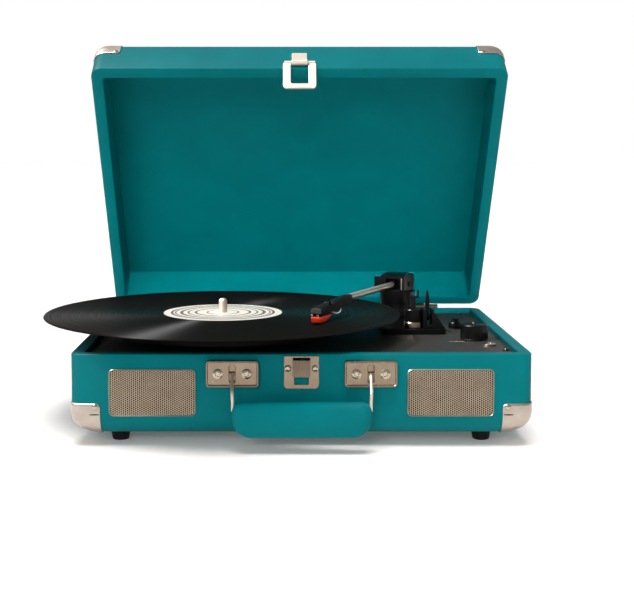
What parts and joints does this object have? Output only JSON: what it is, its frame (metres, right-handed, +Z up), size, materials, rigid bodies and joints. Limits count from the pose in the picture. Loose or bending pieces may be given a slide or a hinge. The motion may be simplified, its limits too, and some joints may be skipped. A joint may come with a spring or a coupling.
{
  "type": "turntable record player",
  "caption": "Suitcase record player in teal leatherette: hinged lid, belt-driven platter with a record, tonearm, two speakers, carry handle and latch.",
  "frame": {"origin": "middle of the whole machine's footprint, on the surface it stands on", "axes": "+X to the right seen from the handle side, +Y towards the hinges, +Z up"},
  "size_m": [0.3948, 0.3444, 0.319],
  "materials": {
    "teal_leatherette": "fine pebble-grained leatherette over board",
    "nickel": "satin warm nickel plate",
    "grille_metal": "perforated sheet, satin warm nickel",
    "steel": "bright steel",
    "deck_black": "satin black",
    "black_plastic": "satin moulded black",
    "speaker_paper": "black paper cone and steel basket",
    "rubber": "matt black",
    "vinyl": "grooved gloss black",
    "alloy": "brushed",
    "bearing_brass": "turned",
    "circuit_board": "green board with components",
    "red_plastic": "moulded orange red"
  },
  "bodies": {
    "case": {"base_tub": "teal_leatherette", "base_corner_front_left": "nickel", "base_corner_front_right": "nickel", "base_corner_rear_left": "nickel", "base_corner_rear_right": "nickel", "handle_bracket_left": "nickel", "handle_bracket_right": "nickel", "hinge_base_leaf_left": "nickel", "hinge_base_leaf_right": "nickel", "speaker_grille_left": "grille_metal", "speaker_grille_right": "grille_metal", "hinge_pin_left": "steel", "hinge_pin_right": "steel", "speaker_driver_left": "speaker_paper", "speaker_driver_right": "speaker_paper", "foot_front_left": "rubber", "foot_front_right": "rubber", "foot_rear_left": "rubber", "foot_rear_right": "rubber", "deck_plate": "deck_black", "amplifier_board": "circuit_board", "jack_panel": "black_plastic", "headphone_jack": "steel", "power_led": "red_plastic", "platter_bearing": "bearing_brass", "motor": "steel", "drive_belt": "rubber", "tonearm_plinth": "black_plastic", "tonearm_column": "black_plastic", "arm_rest": "black_plastic", "cue_bracket": "black_plastic", "latch_catch": "nickel"},
    "lid": {"lid_shell": "teal_leatherette", "lid_corner_front_left": "nickel", "lid_corner_front_right": "nickel", "lid_corner_rear_left": "nickel", "lid_corner_rear_right": "nickel", "hinge_lid_leaf_left": "nickel", "hinge_lid_leaf_right": "nickel", "latch_tab": "nickel"},
    "latch_loop": {"latch_loop": "nickel"},
    "platter": {"spindle": "alloy", "platter": "black_plastic", "slip_mat": "rubber", "record": "vinyl"},
    "motor_pulley": {"motor_pulley": "bearing_brass"},
    "arm_yoke": {"arm_yoke": "black_plastic"},
    "tonearm": {"arm_pivot_block": "black_plastic", "arm_tube": "alloy", "headshell": "black_plastic", "cartridge": "black_plastic", "stylus": "red_plastic"},
    "arm_lifter": {"arm_lifter": "black_plastic"},
    "cue_lever": {"cue_lever": "black_plastic"},
    "volume_knob": {"volume_knob": "black_plastic"},
    "selector_knob": {"selector_knob": "black_plastic"},
    "handle": {"handle_grip": "teal_leatherette", "handle_wire_left": "nickel", "handle_wire_right": "nickel"}
  },
  "joints": [
    {"name": "lid_hinge", "type": "hinge", "parent": "case", "child": "lid", "pos_m": [0.01875, 0.1385, 0.073], "axis": [-1, 0, 0], "range_deg": [-35, 39]},
    {"name": "latch_loop_swing", "type": "hinge", "parent": "lid", "child": "latch_loop", "pos_m": [0.01875, -0.01041, 0.30234], "axis": [-1, 0, 0], "range_deg": [0, 150]},
    {"name": "platter_spin", "type": "hinge", "parent": "case", "child": "platter", "pos_m": [-0.04665, -0.02135, 0.08], "axis": [0, 0, -1], "continuous": true},
    {"name": "pulley_spin", "type": "hinge", "parent": "case", "child": "motor_pulley", "pos_m": [-0.10958, 0.04158, 0.075], "axis": [0, 0, -1], "continuous": true},
    {"name": "tonearm_swing", "type": "hinge", "parent": "case", "child": "arm_yoke", "pos_m": [0.11075, 0.06965, 0.1045], "axis": [0, 0, -1], "range_deg": [-32.6, 15.2]},
    {"name": "tonearm_lift", "type": "hinge", "parent": "arm_yoke", "child": "tonearm", "pos_m": [0.11075, 0.06965, 0.1045], "axis": [-0.8973, 0.4415, 0], "range_deg": [0, 3]},
    {"name": "cue_lever_tilt", "type": "hinge", "parent": "case", "child": "cue_lever", "pos_m": [0.13175, 0.00865, 0.082], "axis": [-1, 0, 0], "range_deg": [0, 55]},
    {"name": "lifter_slide", "type": "slide", "parent": "case", "child": "arm_lifter", "axis": [0, 0, 1], "range_m": [0, 0.0015]},
    {"name": "volume_turn", "type": "hinge", "parent": "case", "child": "volume_knob", "pos_m": [0.16575, -0.03635, 0.075], "axis": [0, 0, -1], "range_deg": [0, 270]},
    {"name": "selector_turn", "type": "hinge", "parent": "case", "child": "selector_knob", "pos_m": [0.15875, 0.02765, 0.075], "axis": [0, 0, -1], "range_deg": [0, 60]},
    {"name": "handle_swing", "type": "hinge", "parent": "case", "child": "handle", "pos_m": [0.01875, -0.1337, 0.0584], "axis": [-1, 0, 0], "range_deg": [0, 95]}
  ],
  "couplings": [
    {"joint": "pulley_spin", "follows": "platter_spin", "ratio": 20.5},
    {"joint": "tonearm_lift", "follows": "cue_lever_tilt", "ratio": 0.049091},
    {"joint": "lifter_slide", "follows": "cue_lever_tilt", "m_per_rad": 0.0014738}
  ]
}
